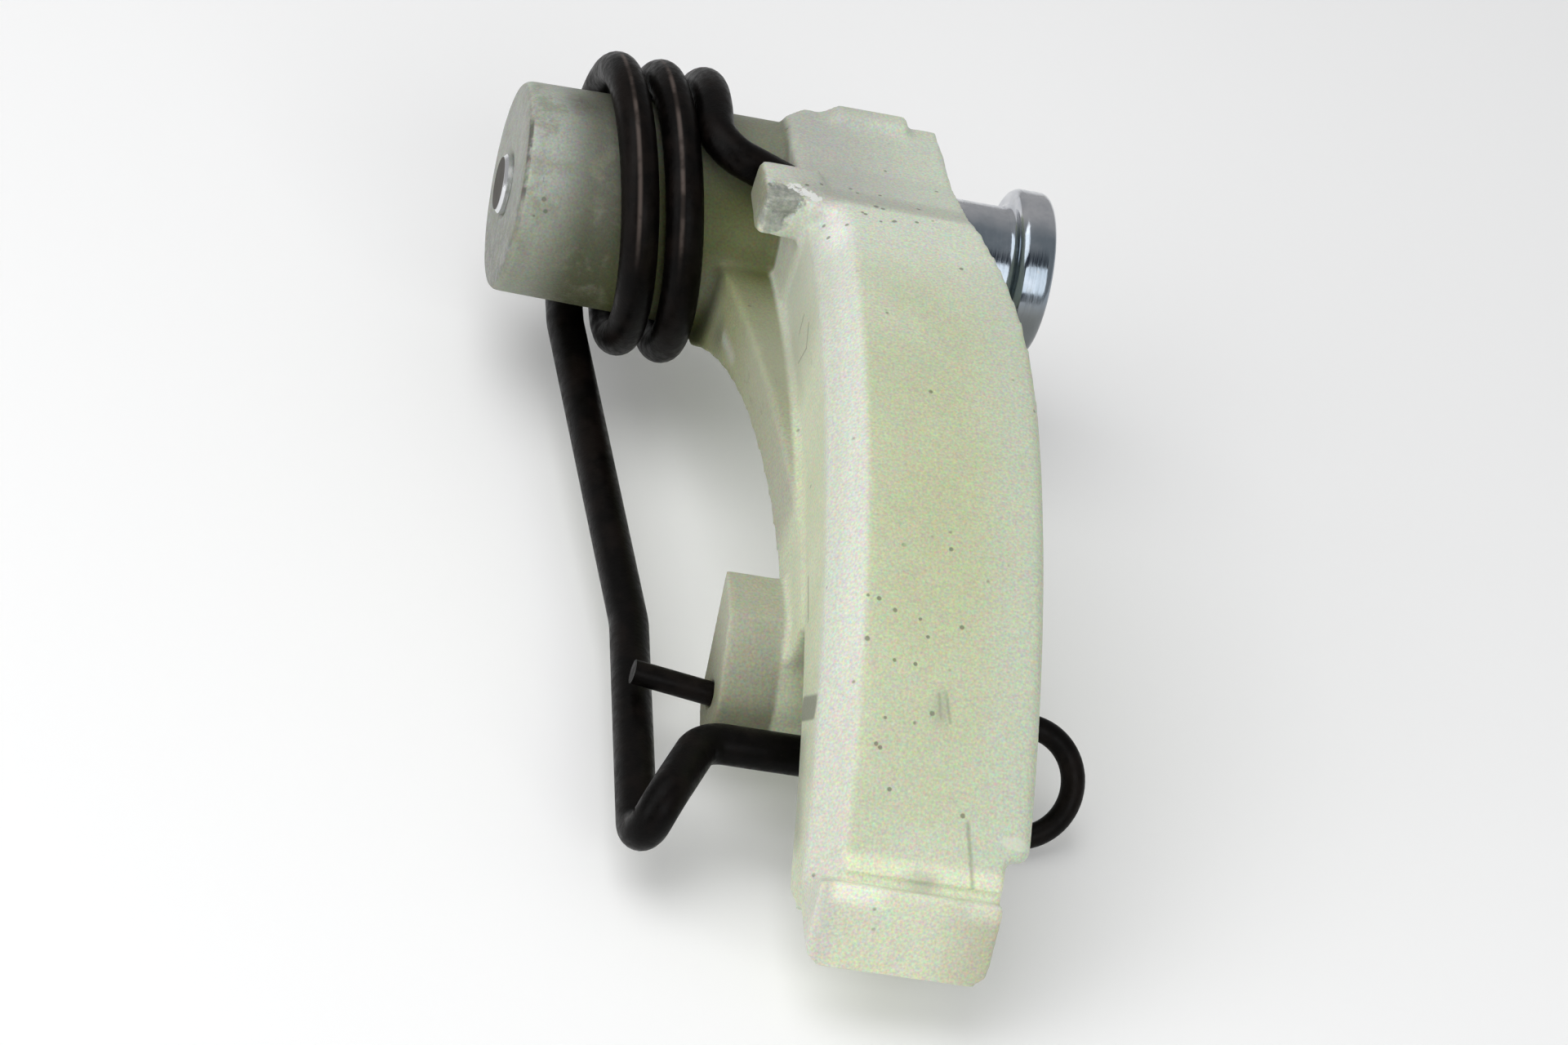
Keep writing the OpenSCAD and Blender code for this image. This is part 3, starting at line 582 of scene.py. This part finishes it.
def nylon():
    mat, tree, shader = new_material("natural_nylon")
    p = position(tree)
    grain = noise(tree, p, 2.6, 4.0, 0.7)
    fine = noise(tree, p, 7.0, 2.0, 0.6)
    specks = speck_mask(tree, p)
    gate = gate_mask(tree, p)
    colour = shoe_paint(tree, p)
    colour = block_paint(tree, p, colour)
    colour = web_paint(tree, p, colour)
    colour = boss_paint(tree, p, colour, grain)
    colour = speckle(tree, p, colour, 5.2, 0.95)
    colour = speckle(tree, p, colour, 1.1, 0.16)
    colour = mix(tree, times(tree, specks, 0.65), colour, NYLON["speck"])
    colour = mark_paint(tree, p, colour)
    colour = gate_paint(tree, p, colour, gate, grain)
    tree.links.new(colour, shader.inputs["Base Color"])
    tree.links.new(ramp(tree, fine, 0.3, 0.7, 0.42, 0.6), shader.inputs["Roughness"])
    shader.inputs["Subsurface Weight"].default_value = 0.25
    shader.inputs["Subsurface Radius"].default_value = (1.0, 1.0, 0.55)
    shader.inputs["Subsurface Scale"].default_value = 1.2 / MM
    shader.inputs["Specular IOR Level"].default_value = 0.36
    torn = times(tree, gate, noise(tree, p, 1.4, 4.0, 0.7))
    relief = calc(tree, "ADD", times(tree, grain, 0.8), torn)
    relief = calc(tree, "SUBTRACT", relief, times(tree, specks, 0.5))
    bump(tree, shader, relief, 0.06 / MM)
    return mat


def glinting_turns(tree, p, colour, crests):
    """Coil with a painted highlight along the outer crest of some turns."""
    x, y, z = axes(tree, p)
    height, facing = lifted(tree, y, z)
    turn_x = calc(tree, "ADD", x, times(tree, height, COIL_LEAN))
    outside = times(
        tree, ramp(tree, reach(tree, p, (0.0, 0.0, 0.0), FROM_AXIS), 11.1, 11.4),
        ramp(tree, facing, 0.0, 4.0), ramp(tree, height, -6.0, -1.0),
        ramp(tree, noise(tree, p, 0.45, 3.0, 0.6), 0.38, 0.6, 0.25, 0.9),
    )
    for crest in crests:
        # Painted highlight along the crest of each listed turn, on the side facing the view
        glint = times(tree, ramp(tree, off(tree, turn_x, crest), 0.02, 0.26, 1.0, 0.0), outside)
        colour = mix(tree, glint, colour, WIRE_GLINT)
    return colour


def black_wire(name, dark, brown, rough, crests=()):
    """Blackened wire; crests are the places of the turns that carry a painted highlight."""
    mat, tree, shader = new_material(name)
    p = position(tree)
    film = noise(tree, p, 0.35, 4.0, 0.6)
    drawn = noise(tree, p, 1.4, 4.0, 0.65)
    fine = noise(tree, p, 6.0, 3.0, 0.6)
    colour = mix(tree, ramp(tree, film, 0.4, 0.66), dark, brown)
    colour = mix(tree, ramp(tree, fine, 0.62, 0.78, 0.0, 0.5), colour, WIRE_PIT)
    if crests:
        colour = glinting_turns(tree, p, colour, crests)
    tree.links.new(colour, shader.inputs["Base Color"])
    tree.links.new(ramp(tree, drawn, 0.3, 0.7, rough - 0.1, rough + 0.12), shader.inputs["Roughness"])
    shader.inputs["Metallic"].default_value = 0.0
    shader.inputs["Specular IOR Level"].default_value = 0.07
    bump(tree, shader, calc(tree, "ADD", drawn, times(tree, fine, 0.4)), 0.03 / MM)
    return mat


def bright_steel():
    """Polished steel with painted reflections, darker below and brighter above, and a dark, rough face
    on the tip.
    """
    mat, tree, shader = new_material("polished_pin")
    p = position(tree)
    turned = noise(tree, p, 2.2, 2.0, 0.5, (3.5, 0.12, 0.12))
    haze = noise(tree, p, 0.5, 4.0, 0.6)
    x, y, z = axes(tree, p)
    height = lifted(tree, y, z)[0]
    film = ramp(tree, haze, 0.35, 0.7)
    reflect_dark = mix(tree, film, STEEL["reflect_dark"], STEEL["reflect_dark_pale"])
    reflect_lit = mix(tree, film, STEEL["reflect_lit"], STEEL["reflect_lit_pale"])
    # Painted reflections: dark below and lit above, by height across the pin's axis, with a darker band
    # lowest down
    colour = mix(tree, ramp(tree, height, 2.4, 4.6), reflect_dark, reflect_lit)
    colour = mix(tree, ramp(tree, height, -1.5, -3.5), colour, STEEL["low"])
    colour = mix(tree, ramp(tree, x, -40.0, -41.0), colour, STEEL["tip"])
    stain = ramp(tree, noise(tree, p, 0.8, 3.0, 0.6), 0.62, 0.75, 0.0, 0.35)
    colour = mix(tree, stain, colour, STEEL["stain"])
    face = ramp(tree, x, PIN_END_X + 0.1, PIN_END_X + 0.02)
    colour = mix(tree, face, colour, mix(tree, haze, STEEL["face"], STEEL["face_pale"]))
    tree.links.new(colour, shader.inputs["Base Color"])
    rough = calc(tree, "ADD", ramp(tree, turned, 0.3, 0.7, 0.10, 0.24), times(tree, face, 0.5))
    tree.links.new(rough, shader.inputs["Roughness"])
    tree.links.new(calc(tree, "SUBTRACT", 1.0, face), shader.inputs["Metallic"])
    tree.links.new(ramp(tree, face, 0.0, 1.0, 0.5, 0.05), shader.inputs["Specular IOR Level"])
    bump(tree, shader, turned, 0.012 / MM)
    return mat


def pale_floor():
    mat, tree, shader = new_material("pale_floor")
    shader.inputs["Base Color"].default_value = (0.93, 0.93, 0.93, 1.0)
    shader.inputs["Roughness"].default_value = 0.9
    shader.inputs["Emission Color"].default_value = (1.0, 1.0, 1.0, 1.0)
    shader.inputs["Emission Strength"].default_value = 0.06
    return mat


# Shapes
def link(name, data):
    obj = bpy.data.objects.new(name, data)
    bpy.context.scene.collection.objects.link(obj)
    return obj


def dress(obj, mat):
    obj.data.materials.clear()
    obj.data.materials.append(mat)
    for poly in obj.data.polygons:
        poly.material_index = 0


def soften(node, name, voxel, rounds):
    """A copy of a CAD node with its moulded edges eased."""
    mesh = nodes[node].data.copy()
    obj = link(name, mesh)
    bm = bmesh.new()
    bm.from_mesh(mesh)
    bmesh.ops.remove_doubles(bm, verts=bm.verts, dist=1e-7)
    bm.to_mesh(mesh)
    bm.free()
    remesh = obj.modifiers.new("remesh", "REMESH")
    remesh.mode = "VOXEL"
    remesh.voxel_size = voxel
    remesh.use_smooth_shade = True
    ease = obj.modifiers.new("ease", "SMOOTH")
    ease.factor = 0.5
    ease.iterations = rounds
    bpy.context.view_layer.update()
    done = bpy.data.meshes.new_from_object(obj.evaluated_get(bpy.context.evaluated_depsgraph_get()))
    obj.modifiers.clear()
    obj.data = done
    for poly in done.polygons:
        poly.use_smooth = True
    return obj


def tear(mesh, centre, radius, depth):
    """Sink and roughen a mesh round a torn place, in millimetres."""
    for v in mesh.vertices:
        away = (v.co * MM - Vector(centre)).length / radius
        if away < 1.0:
            rough = 0.5 + lumps.fractal(v.co * TEAR_GRAIN, 0.8, 2.0, 3)
            v.co -= v.normal * (1.0 - away * away) * depth * rough / MM


def arc(a, b, c, radius, steps=14):
    """Points of a round bend at corner b between runs to a and c."""
    u, v = (a - b).normalized(), (c - b).normalized()
    half = u.angle(v) / 2
    centre = b + (u + v).normalized() * (radius / math.sin(half))
    start = b + u * (radius / math.tan(half)) - centre
    side = -u * radius
    sweep = math.pi - 2 * half
    angles = [sweep * i / steps for i in range(steps + 1)]
    return [centre + start * math.cos(t) + side * math.sin(t) for t in angles]


def spring_path():
    """Centre line of the spring, in millimetres: foot bar, hairpin, leg, turns, short leg."""
    coil, flip, last = 10.1, math.radians(52.0), math.radians(92.0)
    turns = (-35.35, -31.9, -28.45)
    leg = turns[0] + 3.75
    half_turn = 48

    def ring(x, angle):
        return Vector((x, coil * math.cos(angle), coil * math.sin(angle)))

    corners = [
        Vector((leg + 23.6, -52.6, -7.28)),
        Vector((leg + 3.6, -52.6, -7.28)),
        Vector((leg + 0.4, -59.6, -6.98)),
        Vector((leg - 0.5, -60.2, -11.0)),
        Vector((leg, -36.5, -11.0)),
        Vector((turns[0], -2.5, -coil)),
        Vector((turns[0], 0.0, -coil)),
    ]
    radii = (2.5, 2.1, 2.1, 12.0, 12.0)
    path = [corners[0]]
    for i, radius in enumerate(radii):
        path += arc(corners[i], corners[i + 1], corners[i + 2], radius)
    first = -math.pi / 2
    path += [ring(turns[0], first + (flip - first) * i / 40) for i in range(41)]
    for here, there in zip(turns, turns[1:]):
        steps = [math.pi * i / half_turn for i in range(1, half_turn + 1)]
        path += [ring((here + there) / 2 - (there - here) / 2 * math.cos(t), flip + t) for t in steps]
        path += [ring(there, flip + math.pi + t) for t in steps]
    path += [ring(turns[2], flip + (last - flip) * i / 12) for i in range(1, 13)]
    start = path[-1]
    bend = start + 4.2 * Vector((0.0, -math.sin(last), math.cos(last)))
    end = Vector((-22.6, -5.8, bend.z - 1.45))
    return path + arc(start, bend, end, 3.2) + [end]


def drawn_wire(name, path, radius, sides=24, ease=0.18):
    """Round wire swept along a centre line, with eased end faces, in millimetres."""
    points = [path[0]]
    for q in path[1:]:
        if (q - points[-1]).length > 0.02:
            points.append(q)
    tangents = []
    for i in range(len(points)):
        a, b = points[max(i - 1, 0)], points[min(i + 1, len(points) - 1)]
        tangents.append((b - a).normalized())
    normal = tangents[0].orthogonal().normalized()
    rings = []
    for i, (q, t) in enumerate(zip(points, tangents)):
        if i:
            normal = tangents[i - 1].rotation_difference(t) @ normal
        normal = (normal - t * normal.dot(t)).normalized()
        rings.append((q, t, normal, radius))
    q, t, n, r = rings[0]
    rings[0] = (q + t * ease, t, n, r)
    rings.insert(0, (q, t, n, r - ease))
    q, t, n, r = rings[-1]
    rings[-1] = (q - t * ease, t, n, r)
    rings.append((q, t, n, r - ease))
    bm = bmesh.new()
    angles = [2 * math.pi * k / sides for k in range(sides)]
    loops = []
    for q, t, n, r in rings:
        b = t.cross(n)
        loops.append([bm.verts.new((q + (n * math.cos(a) + b * math.sin(a)) * r) / MM) for a in angles])
    for one, two in zip(loops, loops[1:]):
        for k in range(sides):
            bm.faces.new((one[k], one[(k + 1) % sides], two[(k + 1) % sides], two[k])).smooth = True
    bm.faces.new(loops[0][::-1])
    bm.faces.new(loops[-1])
    bmesh.ops.recalc_face_normals(bm, faces=bm.faces)
    mesh = bpy.data.meshes.new(name)
    bm.to_mesh(mesh)
    bm.free()
    return link(name, mesh)


slipper = soften("slipper", "slipper_moulding", 0.31 / MM, 6)
for place, radius, depth in TEARS:
    tear(slipper.data, place, radius, depth)
dress(slipper, nylon())
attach(slipper, "lever")
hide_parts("slipper")

spring = drawn_wire("spring_sweep", spring_path(), 1.45)
dress(spring, black_wire("spring_wire", SPRING_DARK, SPRING_BROWN, 0.38, COIL_CRESTS))
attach(spring, "lever")
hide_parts("torsion_spring")
dress(nodes["lock_pin"], black_wire("lock_wire", LOCK_DARK, LOCK_BROWN, 0.42))
dress(nodes["pivot_pin"], bright_steel())


# Floor, light and camera, in metres
FLOOR_GAP = 0.0005
bpy.ops.mesh.primitive_plane_add(size=4.0, location=(0.0, 0.0, before[0][2] - FLOOR_GAP))
floor = bpy.context.object
floor.name = "floor"
dress(floor, pale_floor())

# Directions of the photo's view: to its right, up, and back towards the viewer
right = Vector((0.96363, -0.06948, 0.25805))
up = Vector((-0.15676, 0.63506, 0.75638))
back = right.cross(up).normalized()
up = back.cross(right).normalized()

# Even white surroundings with a dim patch towards the viewer
world = bpy.data.worlds.new("studio")
bpy.context.scene.world = world
world.use_nodes = True
tree = world.node_tree
sky = tree.nodes["Background"]
sky.inputs["Strength"].default_value = 0.42
coord = add(tree, "ShaderNodeTexCoord")
toward = add(tree, "ShaderNodeVectorMath", operation="DOT_PRODUCT")
toward.inputs[1].default_value = back
tree.links.new(coord.outputs["Generated"], toward.inputs[0])
dim = ramp(tree, toward.outputs["Value"], 0.70, 0.86)
tree.links.new(mix(tree, dim, (1.0, 1.0, 1.0), (0.10, 0.12, 0.16)), sky.inputs["Color"])

# Point that the lamps look at
MIDDLE = Vector((-0.022, -0.032, 0.0))


def area(name, place, size, power):
    lamp = bpy.data.lights.new(name, "AREA")
    lamp.shape = "RECTANGLE"
    lamp.size, lamp.size_y = size
    lamp.energy = power
    obj = link(name, lamp)
    obj.location = MIDDLE + Vector(place)
    obj.rotation_euler = (-Vector(place)).to_track_quat("-Z", "Y").to_euler()


area("key", (-0.22, -0.02, 0.46), (0.45, 0.45), 1.35)
area("left", (-0.46, -0.22, 0.20), (0.35, 0.40), 0.95)
area("front", (0.10, -0.49, 0.29), (0.40, 0.38), 1.08)

camera = bpy.data.cameras.new("camera")
camera.sensor_width = 36.0
camera.lens = 112.5
camera.clip_start = 0.01
holder = link("camera", camera)
turn = Matrix((right, up, back)).transposed().to_4x4()
holder.matrix_world = Matrix.Translation((-0.0989, -0.3064, 0.2113)) @ turn
bpy.context.scene.camera = holder
bpy.context.scene.view_settings.view_transform = "Standard"
